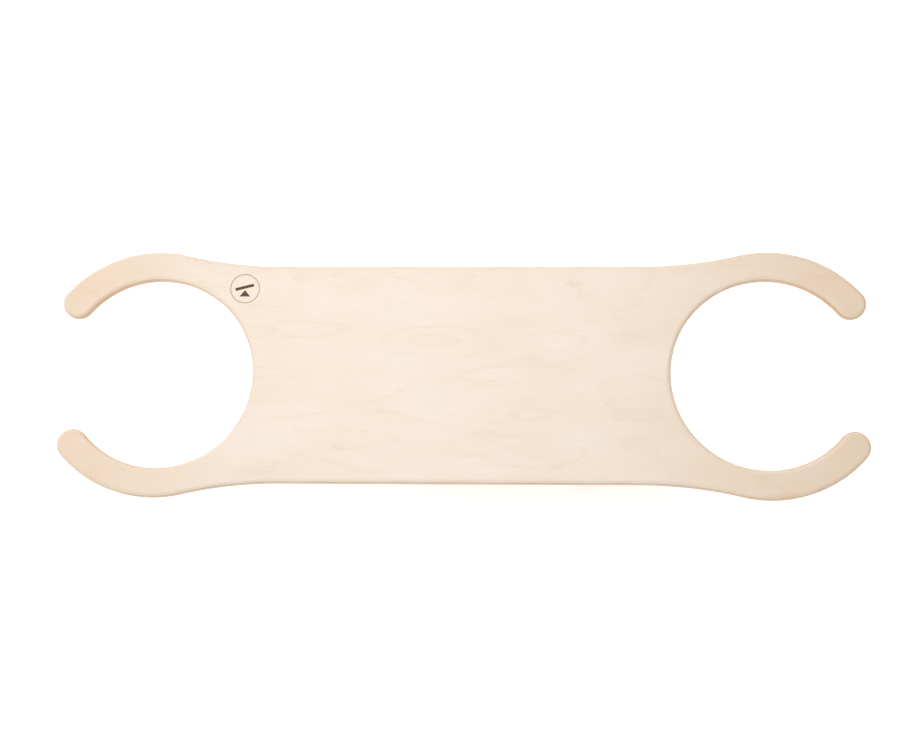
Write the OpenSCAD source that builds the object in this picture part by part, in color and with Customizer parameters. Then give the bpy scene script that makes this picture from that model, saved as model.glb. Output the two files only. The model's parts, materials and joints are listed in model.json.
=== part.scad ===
/* [Board] */
// Thickness of the seesaw board
board_t = 18; // [15:1:24]
// Width of the straight middle of the board
waist_w = 300; // [290:1:320]
// Distance from the middle of the board to the centre of each round cut-out
cutout_x = 415; // [400:1:450]
// Diameter of the round cut-out at each end
cutout_d = 260; // [240:1:264]
// Diameter of the outer curve round each cut-out
arm_d = 340; // [334:1:350]
// How far the centre of the outer curve lies beyond the centre of the cut-out
arm_shift = 3; // [0:0.5:6]
// Radius of the hollow curve between the waist and each arm
neck_r = 600; // [450:10:800]
// Angle between the long axis and the tip of each arm, seen from the centre of the cut-out
tip_angle = 40.5; // [36:0.5:45]

/* [Engraved mark] */
// Distance of the mark from the middle of the board, towards the left end
mark_x = 298; // [250:1:302]
// Distance of the mark from the long axis
mark_y = 118; // [100:1:124]
// Outer diameter of the mark's ring
mark_d = 41; // [30:1:44]
// Width of the ring's line
mark_line = 1.2; // [0.8:0.1:2]
// Depth of the engraving
mark_depth = 0.4; // [0.2:0.1:0.8]

/* [Pivot] */
// Height of the axle above the floor
axle_z = 150; // [140:1:180]
// Diameter of the axle
axle_d = 16; // [14:1:18]
// Distance from the axle's centre line up to the underside of the board
axle_drop = 32; // [31:1:40]
// Outer diameter of the torsion bush
bush_d = 34; // [32:1:36]
// Outer diameter of the bush's inner sleeve
bush_core_d = 20; // [20:0.5:22]
// Wall of the bush's outer sleeve
bush_wall = 2; // [1.5:0.5:2.5]
// Length of the bush's rubber and outer sleeve
bush_l = 30; // [26:1:31]

/* [Bearers] */
// Thickness of each bearer
bearer_t = 24; // [21:1:24]
// Distance between the centre planes of the two bearers
bearer_gap = 154; // [140:1:154]
// Length of each bearer
bearer_l = 460; // [420:10:520]
// Depth of each bearer at its ends
bearer_end_h = 22; // [18:1:24]
// Distance between the two braces, centre to centre
brace_gap = 300; // [280:10:320]
// Height of the braces
brace_h = 24; // [20:1:30]

/* [Stand] */
// Clear distance between the two cheeks
cheek_gap = 192; // [192:1:200]
// Thickness of each cheek and cross rail
cheek_t = 18; // [15:1:21]
// Length of the stand along the board
stand_l = 430; // [400:10:460]
// Radius of the rounded top of each cheek
cheek_top_r = 27; // [22:1:28]
// Width of the arch between the feet
arch_w = 260; // [200:10:260]
// Height of the arch between the feet
arch_h = 45; // [30:1:60]
// Distance between the two cross rails, centre to centre
rail_gap = 270; // [260:5:280]
// Height of the cross rails
rail_h = 40; // [36:1:44]

/* [Feet and buffers] */
// Thickness of rubber under each foot
shoe_sole = 6; // [4:1:8]
// Height of each foot shoe
shoe_h = 16; // [12:1:18]
// Length of each foot shoe
shoe_l = 46; // [36:1:50]
// Thickness of the shoe's side walls
shoe_wall = 4; // [3:0.5:5]
// Diameter of the end buffers
buffer_d = 32; // [26:1:36]
// Height of the end buffers
buffer_h = 14; // [10:1:18]

/* [Hidden] */
$fn = 96;
ARCH_FN = 240;
HULL_FN = 48;
FIT = 0.05;
EPS = 1;

birch = "#f0ddc2";
birch_edge = "#e0c49c";
beech = "#d9b98c";
steel = "#b9bcc0";
dark_steel = "#6d7075";
brass = "#c9a552";
rubber = "#2b2b2d";
nylon = "#e9e7e0";

// The board
board_z = axle_z + axle_drop;
cutout_r = cutout_d / 2;
arm_r = arm_d / 2;
arm_x = cutout_x + arm_shift;
half_waist = waist_w / 2;
neck_x = arm_x - sqrt(pow(neck_r + arm_r, 2) - pow(neck_r + half_waist, 2));
neck_y = half_waist + neck_r;
// The tip is the circle that touches both the cut-out and the outer curve.
tip_r = (arm_r * arm_r - cutout_r * cutout_r - arm_shift * arm_shift
    + 2 * arm_shift * cutout_r * cos(tip_angle)) / (2 * (cutout_r + arm_r - arm_shift * cos(tip_angle)));
tip_x = cutout_x + (cutout_r + tip_r) * cos(tip_angle);
tip_y = (cutout_r + tip_r) * sin(tip_angle);
// Directions in which the neck's curve and the arm's outer curve end
neck_turn = atan2(-neck_y, arm_x - neck_x);
tip_turn = atan2(tip_y, tip_x - arm_x);

// The mark's picture: a bar balanced on a wedge
mark_bar_l = 24;
mark_bar_h = 3;
mark_bar_tilt = 14;
mark_wedge_w = 12;
mark_wedge_h = 10;

// The pivot, along Y from the middle outwards
bearer_y = bearer_gap / 2;
cheek_y = cheek_gap / 2;
thrust_t = 2;
thrust_d = 40;
core_out = cheek_y - thrust_t;
core_in = 2 * bearer_y - core_out;
cheek_out = cheek_y + cheek_t;
axle_end_gap = 1;
axle_thread_d = 8;
axle_thread_l = 25;
cap_washer_d = 36;
cap_washer_t = 3;
spacer_d = 20;

// The bearers, their bolts and the braces
bearer_belly_r = 30;
bearer_nose_r = 8;
bearer_bolt_x = [70, 190];
bearer_seat = 22;
bolt_d = 6;
bolt_l = 35;
cap_head_d = 10;
cap_head_h = 6;
washer_d = 12;
washer_t = 1.6;
counterbore_d = 13;
insert_d = 10;
insert_l = 12;
insert_hole_l = 13;
brace_screw_d = 4.5;
brace_screw_l = 50;
brace_screw_head = 9;
brace_screw_drop = 13;

// The stand
foot_z = shoe_sole;
foot_r = 12;
foot_x = stand_l / 2 - foot_r;
arch_r = (pow(arch_w / 2, 2) + arch_h * arch_h) / (2 * arch_h);
rail_z = 22;
rail_bolt_z = 50;
rail_bolt_l = 55;
rail_dowel_z = 32;
rail_dowel_d = 8;
rail_dowel_l = 30;
dowel_in_cheek = 12;
barrel_d = 10;
barrel_l = 14;
barrel_hole_l = 15;
barrel_in = 30;

// The feet and the buffers
shoe_x = 180;
shoe_r = 4;
foot_screw_d = 4;
foot_screw_l = 25;
foot_screw_head = 8;
foot_screw_recess = 3;
buffer_dome = 7;
buffer_dome_r = (pow(buffer_d / 2, 2) + buffer_dome * buffer_dome) / (2 * buffer_dome);
buffer_bore_d = 9;
buffer_bore_l = 6;
buffer_screw_l = 22;
buffer_head_d = 8;
buffer_head_h = 3;

// ---- Shapes that repeat ----

// Points along an arc, without its last one.
function arc(centre, r, start, end, steps) = [
    for (i = [0 : steps - 1])
        centre + r * [cos(start + (end - start) * i / steps), sin(start + (end - start) * i / steps)]
];

// A path mirrored by the given signs and run backwards.
function mirrored(path, signs) = [
    for (i = [len(path) - 1 : -1 : 0])
        [path[i].x * signs.x, path[i].y * signs.y]
];

// Places its children at every mirrored copy of a point.
module four_corners(x, y) {
    for (sx = [-1, 1])
        for (sy = [-1, 1])
            translate([sx * x, sy * y, 0])
                children();
}

// Turns a shape that stands on +Z so that it points along Y, outwards on that side.
module outward(side) {
    rotate([-90 * side, 0, 0])
        children();
}

// A plate cut from a side view, lying between two distances from the middle along Y.
module side_plate(side, inner, thickness) {
    far = side > 0 ? inner + thickness : -inner;
    translate([0, far, 0])
        rotate([90, 0, 0])
            linear_extrude(thickness)
                children();
}

module tube(outer_d, inner_d, length) {
    difference() {
        cylinder(d = outer_d, h = length);
        translate([0, 0, -EPS])
            cylinder(d = inner_d, h = length + 2 * EPS);
    }
}

// A domed bolt with a hexagon socket: the head stands on z = 0 and the shank goes down.
module dome_bolt(d, length, head_d, head_h, key) {
    rim = 0.25 * head_h;
    rise = head_h - rim;
    dome_r = (head_d * head_d / 4 + rise * rise) / (2 * rise);
    difference() {
        union() {
            intersection() {
                translate([0, 0, head_h - dome_r])
                    sphere(r = dome_r);
                cylinder(d = head_d, h = head_h);
            }
            translate([0, 0, -length + d / 8])
                cylinder(d = d, h = length);
            translate([0, 0, -length])
                cylinder(d1 = 0.75 * d, d2 = d, h = d / 8);
        }
        translate([0, 0, 0.35 * head_h])
            cylinder(d = key / cos(30), h = head_h, $fn = 6);
    }
}

// A cylinder-head bolt with a hexagon socket: the head hangs below z = 0 and the shank goes up.
module cap_bolt(d, length, head_d, head_h, key) {
    difference() {
        union() {
            translate([0, 0, -head_h])
                cylinder(d = head_d, h = head_h);
            translate([0, 0, -EPS])
                cylinder(d = d, h = length + EPS);
        }
        translate([0, 0, -head_h - EPS])
            cylinder(d = key / cos(30), h = head_h / 2 + EPS, $fn = 6);
    }
}

// A wood screw: the head's flat top is at z = 0, and the shank goes down to a point.
module wood_screw(d, length, head_d, head_h, tapered) {
    tip_l = 1.5 * d;
    difference() {
        union() {
            translate([0, 0, -head_h])
                cylinder(d1 = tapered ? d : head_d, d2 = head_d, h = head_h);
            translate([0, 0, -length + tip_l])
                cylinder(d = d, h = length - tip_l - head_h + EPS);
            translate([0, 0, -length])
                cylinder(d1 = 0.2, d2 = d, h = tip_l);
        }
        translate([0, 0, -0.5 * head_h])
            cylinder(d = 0.45 * head_d, h = head_h, $fn = 6);
    }
}

// ---- The board ----

// One quarter of the outline, from the straight waist round an arm to the long axis.
quarter = concat(
    arc([neck_x, neck_y], neck_r, -90, neck_turn, 12),
    arc([arm_x, 0], arm_r, 180 + neck_turn, tip_turn, 26),
    arc([tip_x, tip_y], tip_r, tip_turn, tip_angle - 180, 24),
    arc([cutout_x, 0], cutout_r, tip_angle, 180, 56)
);
right_end = concat(quarter, [[cutout_x - cutout_r, 0]], mirrored(quarter, [1, -1]));

module board_outline() {
    polygon(concat(right_end, mirrored(right_end, [-1, 1])));
}

// The engraved picture: a ring round a bar that is balanced on a wedge.
module mark_picture() {
    difference() {
        circle(d = mark_d);
        circle(d = mark_d - 2 * mark_line);
    }
    rotate(mark_bar_tilt)
        translate([-mark_bar_l / 2, 0])
            square([mark_bar_l, mark_bar_h]);
    polygon([[0, -0.5], [mark_wedge_w / 2, -mark_wedge_h], [-mark_wedge_w / 2, -mark_wedge_h]]);
}

module board() {
    color(birch)
        difference() {
            translate([0, 0, board_z])
                linear_extrude(board_t)
                    board_outline();
            translate([-mark_x, mark_y, board_z + board_t - mark_depth])
                linear_extrude(mark_depth + EPS)
                    mark_picture();
            for (x = bearer_bolt_x)
                four_corners(x, bearer_y)
                    translate([0, 0, board_z - EPS])
                        cylinder(d = insert_d + 2 * FIT, h = insert_hole_l + EPS);
            four_corners(tip_x, tip_y)
                translate([0, 0, board_z - EPS])
                    cylinder(d = foot_screw_d + 2 * FIT, h = buffer_screw_l - buffer_h + buffer_bore_l + 1 + EPS);
        }
}

// ---- The bearers and braces under the board ----

module bearer_outline() {
    hull($fn = HULL_FN) {
        translate([0, axle_z])
            circle(r = bearer_belly_r);
        for (sx = [-1, 1])
            translate([sx * (bearer_l / 2 - bearer_nose_r), board_z - bearer_end_h + bearer_nose_r])
                circle(r = bearer_nose_r, $fn = HULL_FN);
        translate([-bearer_l / 2, board_z - EPS])
            square([bearer_l, EPS]);
    }
}

module bearer(side) {
    color(birch)
        difference() {
            side_plate(side, bearer_y - bearer_t / 2, bearer_t)
                bearer_outline();
            translate([0, side * (bearer_y - bearer_t), axle_z])
                outward(side)
                    cylinder(d = bush_d + 2 * FIT, h = 2 * bearer_t);
            for (sx = [-1, 1], x = bearer_bolt_x)
                translate([sx * x, side * bearer_y, board_z]) {
                    translate([0, 0, -bearer_seat - EPS])
                        cylinder(d = bolt_d + 0.5, h = bearer_seat + 2 * EPS);
                    translate([0, 0, -2 * bearer_belly_r - bearer_seat])
                        cylinder(d = counterbore_d, h = 2 * bearer_belly_r);
                }
            for (sx = [-1, 1])
                translate([sx * brace_gap / 2, side * (bearer_y + bearer_t / 2), board_z - brace_screw_drop])
                    outward(side) {
                        translate([0, 0, -bearer_t - EPS])
                            cylinder(d = brace_screw_d + 2 * FIT, h = bearer_t + 2 * EPS);
                        translate([0, 0, -brace_screw_head / 2])
                            cylinder(d1 = brace_screw_d + 2 * FIT, d2 = brace_screw_head + 2 * FIT,
                                h = brace_screw_head / 2 + FIT);
                    }
        }
}

module brace(sx) {
    length = 2 * bearer_y - bearer_t;
    color(birch)
        difference() {
            translate([sx * brace_gap / 2 - cheek_t / 2, -length / 2, board_z - brace_h])
                cube([cheek_t, length, brace_h]);
            for (side = [-1, 1])
                translate([sx * brace_gap / 2, side * (bearer_y + bearer_t / 2), board_z - brace_screw_drop])
                    outward(side)
                        translate([0, 0, -brace_screw_l - EPS])
                            cylinder(d = brace_screw_d + 2 * FIT, h = brace_screw_l);
        }
}

module bearer_bolts() {
    color(dark_steel)
        for (x = bearer_bolt_x)
            four_corners(x, bearer_y)
                translate([0, 0, board_z - bearer_seat - washer_t])
                    cap_bolt(bolt_d, bolt_l, cap_head_d, cap_head_h, 5);
}

module bearer_washers() {
    color(steel)
        for (x = bearer_bolt_x)
            four_corners(x, bearer_y)
                translate([0, 0, board_z - bearer_seat - washer_t])
                    tube(washer_d, bolt_d + 0.4, washer_t);
}

module board_inserts() {
    color(brass)
        for (x = bearer_bolt_x)
            four_corners(x, bearer_y)
                translate([0, 0, board_z])
                    tube(insert_d, bolt_d + 2 * FIT, insert_l);
}

module brace_screws() {
    color(dark_steel)
        for (side = [-1, 1], sx = [-1, 1])
            translate([sx * brace_gap / 2, side * (bearer_y + bearer_t / 2), board_z - brace_screw_drop])
                outward(side)
                    wood_screw(brace_screw_d, brace_screw_l, brace_screw_head, brace_screw_head / 2 - 0.5, true);
}

// ---- The pivot ----

module bush_outer(side) {
    color(steel)
        translate([0, side * (bearer_y - bush_l / 2), axle_z])
            outward(side)
                tube(bush_d, bush_d - 2 * bush_wall, bush_l);
}

module bush_rubber(side) {
    color(rubber)
        translate([0, side * (bearer_y - bush_l / 2), axle_z])
            outward(side)
                tube(bush_d - 2 * bush_wall - 2 * FIT, bush_core_d + 2 * FIT, bush_l);
}

module bush_core(side) {
    color(steel)
        translate([0, side * core_in, axle_z])
            outward(side)
                tube(bush_core_d, axle_d + 2 * FIT, core_out - core_in);
}

module axle() {
    length = 2 * (cheek_out - axle_end_gap);
    color(steel)
        difference() {
            translate([0, -length / 2, axle_z])
                outward(1)
                    cylinder(d = axle_d, h = length);
            for (side = [-1, 1])
                translate([0, side * (length / 2 - axle_thread_l), axle_z])
                    outward(side)
                        cylinder(d = axle_thread_d + 2 * FIT, h = axle_thread_l + EPS);
        }
}

module axle_spacer() {
    color(steel)
        translate([0, -core_in, axle_z])
            outward(1)
                tube(spacer_d, axle_d + 2 * FIT, 2 * core_in);
}

module thrust_washer(side) {
    color(nylon)
        translate([0, side * core_out, axle_z])
            outward(side)
                tube(thrust_d, axle_d + 2 * FIT, thrust_t);
}

module axle_washer(side) {
    color(steel)
        translate([0, side * cheek_out, axle_z])
            outward(side)
                tube(cap_washer_d, axle_thread_d + 0.4, cap_washer_t);
}

module axle_bolt(side) {
    color(steel)
        translate([0, side * (cheek_out + cap_washer_t), axle_z])
            outward(side)
                dome_bolt(axle_thread_d, 20, 16, 5.5, 5);
}

// ---- The stand ----

module cheek_outline() {
    difference() {
        hull($fn = HULL_FN) {
            translate([0, axle_z])
                circle(r = cheek_top_r);
            for (sx = [-1, 1]) {
                translate([sx * foot_x, foot_z + foot_r])
                    circle(r = foot_r, $fn = HULL_FN);
                translate([sx * (foot_x - foot_r / 2), foot_z])
                    square([1, 1], center = false);
            }
        }
        translate([0, foot_z + arch_h - arch_r])
            circle(r = arch_r, $fn = ARCH_FN);
    }
}

module cheek(side) {
    color(birch)
        difference() {
            side_plate(side, cheek_y, cheek_t)
                cheek_outline();
            translate([0, side * (cheek_y - EPS), axle_z])
                outward(side)
                    cylinder(d = axle_d + 2 * FIT, h = cheek_t + 2 * EPS);
            for (sx = [-1, 1]) {
                translate([sx * rail_gap / 2, side * (cheek_y - EPS), rail_bolt_z])
                    outward(side)
                        cylinder(d = bolt_d + 0.4, h = cheek_t + 2 * EPS);
                translate([sx * rail_gap / 2, side * (cheek_y - EPS), rail_dowel_z])
                    outward(side)
                        cylinder(d = rail_dowel_d + 2 * FIT, h = dowel_in_cheek + EPS + FIT);
                translate([sx * shoe_x, side * (cheek_y + cheek_t / 2), foot_z - EPS])
                    cylinder(d = foot_screw_d + 2 * FIT, h = foot_screw_l);
            }
        }
}

module cross_rail(sx) {
    color(birch)
        difference() {
            translate([sx * rail_gap / 2 - cheek_t / 2, -cheek_y, rail_z])
                cube([cheek_t, 2 * cheek_y, rail_h]);
            for (side = [-1, 1]) {
                translate([sx * rail_gap / 2, side * (cheek_y - barrel_in - 10), rail_bolt_z])
                    outward(side)
                        cylinder(d = bolt_d + 0.4, h = barrel_in + 10 + EPS);
                translate([sx * rail_gap / 2, side * (cheek_y - rail_dowel_l + dowel_in_cheek - FIT), rail_dowel_z])
                    outward(side)
                        cylinder(d = rail_dowel_d + 2 * FIT, h = rail_dowel_l);
                translate([sx * (rail_gap / 2 - cheek_t / 2), side * (cheek_y - barrel_in), rail_bolt_z])
                    rotate([0, 90 * sx, 0])
                        translate([0, 0, -EPS])
                            cylinder(d = barrel_d + 2 * FIT, h = barrel_hole_l + EPS);
            }
        }
}

module rail_bolts() {
    color(steel)
        for (side = [-1, 1], sx = [-1, 1])
            translate([sx * rail_gap / 2, side * cheek_out, rail_bolt_z])
                outward(side)
                    dome_bolt(bolt_d, rail_bolt_l, 12, 4, 4);
}

module rail_barrel_nuts() {
    color(steel)
        for (side = [-1, 1], sx = [-1, 1])
            difference() {
                translate([sx * (rail_gap / 2 - cheek_t / 2 + 0.5), side * (cheek_y - barrel_in), rail_bolt_z])
                    rotate([0, 90 * sx, 0])
                        cylinder(d = barrel_d, h = barrel_l);
                translate([sx * rail_gap / 2, side * (cheek_y - barrel_in - barrel_d), rail_bolt_z])
                    outward(side)
                        cylinder(d = bolt_d + 2 * FIT, h = 2 * barrel_d);
            }
}

module rail_dowels() {
    color(beech)
        for (side = [-1, 1], sx = [-1, 1])
            translate([sx * rail_gap / 2, side * (cheek_y + dowel_in_cheek), rail_dowel_z])
                outward(side)
                    translate([0, 0, -rail_dowel_l])
                        cylinder(d = rail_dowel_d, h = rail_dowel_l);
}

// ---- Rubber feet and end buffers ----

module foot_shoe(sx, side) {
    width = cheek_t + 2 * shoe_wall;
    color(rubber)
        translate([sx * shoe_x, side * (cheek_y + cheek_t / 2), 0])
            difference() {
                linear_extrude(shoe_h)
                    union() {
                        square([shoe_l - 2 * shoe_r, width], center = true);
                        square([shoe_l, width - 2 * shoe_r], center = true);
                        four_corners(shoe_l / 2 - shoe_r, width / 2 - shoe_r)
                            circle(r = shoe_r);
                    }
                translate([-shoe_l, -cheek_t / 2 - FIT, shoe_sole])
                    cube([2 * shoe_l, cheek_t + 2 * FIT, shoe_h]);
                translate([0, 0, -EPS])
                    cylinder(d = foot_screw_d + 2 * FIT, h = shoe_sole + 2 * EPS);
                translate([0, 0, -EPS])
                    cylinder(d = foot_screw_head + 2 * FIT, h = foot_screw_recess + EPS);
            }
}

module foot_screws() {
    color(dark_steel)
        four_corners(shoe_x, cheek_y + cheek_t / 2)
            translate([0, 0, foot_screw_recess - 2.5])
                mirror([0, 0, 1])
                    wood_screw(foot_screw_d, foot_screw_l - 3, foot_screw_head, 2.5, false);
}

module end_buffer(sx, side) {
    color(rubber)
        translate([sx * tip_x, side * tip_y, board_z - buffer_h])
            difference() {
                intersection() {
                    cylinder(d = buffer_d, h = buffer_h);
                    translate([0, 0, buffer_dome_r])
                        union() {
                            sphere(r = buffer_dome_r);
                            translate([0, 0, buffer_dome - buffer_dome_r])
                                cylinder(r = buffer_dome_r, h = 2 * buffer_h);
                        }
                }
                translate([0, 0, -EPS])
                    cylinder(d = buffer_bore_d, h = buffer_bore_l + EPS);
                translate([0, 0, -EPS])
                    cylinder(d = foot_screw_d + 2 * FIT, h = buffer_h + 2 * EPS);
            }
}

module buffer_screws() {
    color(dark_steel)
        four_corners(tip_x, tip_y)
            translate([0, 0, board_z - buffer_h + buffer_bore_l - buffer_head_h])
                mirror([0, 0, 1])
                    wood_screw(foot_screw_d, buffer_screw_l + buffer_head_h, buffer_head_d, buffer_head_h, false);
}

board();
bearer(-1);  // bearer_front
bearer(1);  // bearer_back
brace(-1);  // bearer_brace_left
brace(1);  // bearer_brace_right
bearer_bolts();
bearer_washers();
board_inserts();
brace_screws();
bush_outer(-1);  // bush_outer_front
bush_outer(1);  // bush_outer_back
bush_rubber(-1);  // bush_rubber_front
bush_rubber(1);  // bush_rubber_back
end_buffer(-1, -1);  // end_buffer_front_left
end_buffer(1, -1);  // end_buffer_front_right
end_buffer(-1, 1);  // end_buffer_back_left
end_buffer(1, 1);  // end_buffer_back_right
buffer_screws();
cheek(-1);  // cheek_front
cheek(1);  // cheek_back
cross_rail(-1);  // cross_rail_left
cross_rail(1);  // cross_rail_right
axle();
axle_spacer();
bush_core(-1);  // bush_core_front
bush_core(1);  // bush_core_back
thrust_washer(-1);  // thrust_washer_front
thrust_washer(1);  // thrust_washer_back
axle_washer(-1);  // axle_washer_front
axle_washer(1);  // axle_washer_back
axle_bolt(-1);  // axle_bolt_front
axle_bolt(1);  // axle_bolt_back
rail_bolts();
rail_barrel_nuts();
rail_dowels();
foot_shoe(-1, -1);  // foot_shoe_front_left
foot_shoe(1, -1);  // foot_shoe_front_right
foot_shoe(-1, 1);  // foot_shoe_back_left
foot_shoe(1, 1);  // foot_shoe_back_right
foot_screws();
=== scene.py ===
import json
import math

import bmesh
import bpy
from mathutils import Matrix, Vector


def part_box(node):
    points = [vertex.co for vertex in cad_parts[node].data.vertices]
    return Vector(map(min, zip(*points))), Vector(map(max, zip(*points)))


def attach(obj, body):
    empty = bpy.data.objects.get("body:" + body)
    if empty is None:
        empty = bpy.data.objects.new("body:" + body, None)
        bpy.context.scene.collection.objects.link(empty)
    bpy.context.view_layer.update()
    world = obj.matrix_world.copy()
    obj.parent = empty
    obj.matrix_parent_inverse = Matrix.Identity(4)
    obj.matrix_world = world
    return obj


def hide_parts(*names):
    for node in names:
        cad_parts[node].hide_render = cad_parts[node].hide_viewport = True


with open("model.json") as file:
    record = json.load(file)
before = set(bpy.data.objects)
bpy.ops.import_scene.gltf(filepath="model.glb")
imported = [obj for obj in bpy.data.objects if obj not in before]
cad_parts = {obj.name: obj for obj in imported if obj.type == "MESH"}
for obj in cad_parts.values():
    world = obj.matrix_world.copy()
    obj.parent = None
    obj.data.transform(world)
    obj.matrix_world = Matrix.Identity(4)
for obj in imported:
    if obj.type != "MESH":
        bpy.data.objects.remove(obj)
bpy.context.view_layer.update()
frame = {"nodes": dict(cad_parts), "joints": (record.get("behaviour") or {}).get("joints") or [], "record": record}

MM = 0.001
FIT = 0.05 * MM  # clearance of a hole round what sits in it
PAST = MM  # how far a cutter reaches past the face that it cuts
SHARP = math.radians(32)  # edges that turn by more than this stay sharp

# ---- Sizes that the frame gives ----

board_low, board_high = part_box("board")
AXLE = Vector(frame["joints"][0]["pos_m"])

# ---- Sizes of the board's outline, which part.scad works out in the same way ----

CUTOUT_X = 415 * MM
CUTOUT_R = 130 * MM
ARM_R = 170 * MM
ARM_X = CUTOUT_X + 3 * MM
HALF_WAIST = 150 * MM
NECK_R = 600 * MM
TIP_ANGLE = 40.5
BOARD_ROUND = 6 * MM

MARK = Vector((-298 * MM, 118 * MM))
MARK_R = 20.5 * MM
MARK_LINE = 1.2 * MM
MARK_DEPTH = 0.4 * MM
MARK_BAR = (26 * MM, 4 * MM)
MARK_BAR_TILT = 14
MARK_WEDGE = (15 * MM, 11 * MM)
MARK_GAP = 2 * MM

# ---- Mesh helpers ----


def arc(centre, radius, start, end, steps):
    """Points along an arc in degrees, without its last one."""
    points = []
    for i in range(steps):
        angle = math.radians(start + (end - start) * i / steps)
        points.append((centre[0] + radius * math.cos(angle), centre[1] + radius * math.sin(angle)))
    return points


def mirrored(path, su, sv):
    return [(u * su, v * sv) for u, v in reversed(path)]


def area(path):
    return sum(a[0] * b[1] - b[0] * a[1] for a, b in zip(path, path[1:] + path[:1])) / 2


MITRE_LIMIT = 0.35


def inset_path(path, distance):
    """A counter-clockwise path moved inwards by a distance, with mitred corners."""
    if distance == 0:
        return list(path)
    moved = []
    count = len(path)
    for i, (u, v) in enumerate(path):
        before = Vector((u - path[i - 1][0], v - path[i - 1][1])).normalized()
        after = Vector((path[(i + 1) % count][0] - u, path[(i + 1) % count][1] - v)).normalized()
        inwards = Vector((-before.y - after.y, before.x + after.x)).normalized()
        reach = distance / max(MITRE_LIMIT, inwards.dot(Vector((-before.y, before.x))))
        moved.append((u + inwards.x * reach, v + inwards.y * reach))
    return moved


def flat(u, v, w):
    """A plate that lies down: u, v, w are X, Y, Z."""
    return Vector((u, v, w))


def upright(u, v, w):
    """A plate whose side view is X, Z and whose thickness runs along Y."""
    return Vector((u, w, v))


def crossways(u, v, w):
    """A plate whose side view is Y, Z and whose thickness runs along X."""
    return Vector((w, u, v))


def add_loops(bm, loops, cyclic=False):
    """Joins rings of vertices into strips of quads."""
    pairs = list(zip(loops, loops[1:]))
    if cyclic:
        pairs.append((loops[-1], loops[0]))
    for low, high in pairs:
        count = len(low)
        for i in range(count):
            j = (i + 1) % count
            bm.faces.new((low[i], low[j], high[j], high[i]))


def fill_ring(bm, ring):
    edges = [bm.edges.get((ring[i - 1], ring[i])) for i in range(len(ring))]
    bmesh.ops.triangle_fill(bm, use_beauty=True, edges=edges)


def add_plate(bm, outline, low, high, turn, edge_r, steps=6, rim=1.2 * MM):
    """A solid cut to an outline between two heights, with its edges rounded over."""
    if area(outline) < 0:
        outline = list(reversed(outline))
    if edge_r:
        half = [(edge_r + rim, low)]
        for i in range(steps + 1):
            angle = math.radians(90 * i / steps)
            half.append((edge_r * (1 - math.sin(angle)), low + edge_r * (1 - math.cos(angle))))
    else:
        half = [(0, low)]
    profile = half + [(inset, low + high - height) for inset, height in reversed(half)]
    loops = []
    for inset, height in profile:
        loops.append([bm.verts.new(turn(u, v, height)) for u, v in inset_path(outline, inset)])
    add_loops(bm, loops)
    fill_ring(bm, loops[0])
    fill_ring(bm, loops[-1])


def add_lathe(bm, profile, place, closed=False, segments=48):
    """Turns a profile of (radius, height) points round the local Z axis and puts it in place."""
    loops = []
    for radius, height in profile:
        ring = []
        for i in range(segments):
            angle = 2 * math.pi * i / segments
            r = radius(angle) if callable(radius) else radius
            ring.append(bm.verts.new(place @ Vector((r * math.cos(angle), r * math.sin(angle), height))))
        loops.append(ring)
    add_loops(bm, loops, cyclic=closed)
    if not closed:
        bm.faces.new(loops[0])
        bm.faces.new(loops[-1])


def hexagon(across):
    """The radius of a hexagon of that width across its flats, by angle."""
    def radius(angle):
        return across / 2 / math.cos((angle + math.pi / 6) % (math.pi / 3) - math.pi / 6)
    return radius


def finish_mesh(bm, name):
    """Turns the mesh into an object that is smooth apart from its sharp edges."""
    bmesh.ops.recalc_face_normals(bm, faces=bm.faces)
    mesh = bpy.data.meshes.new(name)
    bm.to_mesh(mesh)
    bm.free()
    piece = bpy.data.objects.new(name, mesh)
    bpy.context.scene.collection.objects.link(piece)
    mark_sharp(piece)
    return piece


def mark_sharp(piece):
    bm = bmesh.new()
    bm.from_mesh(piece.data)
    for face in bm.faces:
        face.smooth = True
    for edge in bm.edges:
        edge.smooth = len(edge.link_faces) == 2 and edge.calc_face_angle(0) < SHARP
    bm.to_mesh(piece.data)
    bm.free()


def cut(piece, cutter_bm):
    """Cuts the closed shapes of a mesh out of a piece."""
    cutter = finish_mesh(cutter_bm, "cutter")
    boolean = piece.modifiers.new("cut", "BOOLEAN")
    boolean.operation = "DIFFERENCE"
    boolean.solver = "EXACT"
    boolean.object = cutter
    graph = bpy.context.evaluated_depsgraph_get()
    result = bpy.data.meshes.new_from_object(piece.evaluated_get(graph))
    piece.modifiers.clear()
    piece.data = result
    bpy.data.objects.remove(cutter)
    mark_sharp(piece)


def solids(node):
    """(lowest corner, highest corner) of each separate solid of a CAD node."""
    mesh = frame["nodes"][node].data
    index = {}
    ids = []
    for vertex in mesh.vertices:
        key = tuple(round(c, 6) for c in vertex.co)
        ids.append(index.setdefault(key, len(index)))
    root = list(range(len(index)))

    def find(i):
        while root[i] != i:
            root[i] = root[root[i]]
            i = root[i]
        return i

    for edge in mesh.edges:
        root[find(ids[edge.vertices[0]])] = find(ids[edge.vertices[1]])
    boxes = {}
    for key, i in index.items():
        low, high = boxes.setdefault(find(i), (Vector(key), Vector(key)))
        for axis in range(3):
            low[axis] = min(low[axis], key[axis])
            high[axis] = max(high[axis], key[axis])
    return sorted(boxes.values(), key=lambda box: tuple(box[0]))


BODY_OF = {node: body for body, nodes in frame["record"]["behaviour"]["bodies"].items() for node in nodes}


def stand_for(piece, node, material):
    """The piece takes the CAD node's place, body and slot."""
    piece.data.materials.clear()
    piece.data.materials.append(material)
    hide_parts(node)
    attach(piece, BODY_OF[node])


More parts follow.
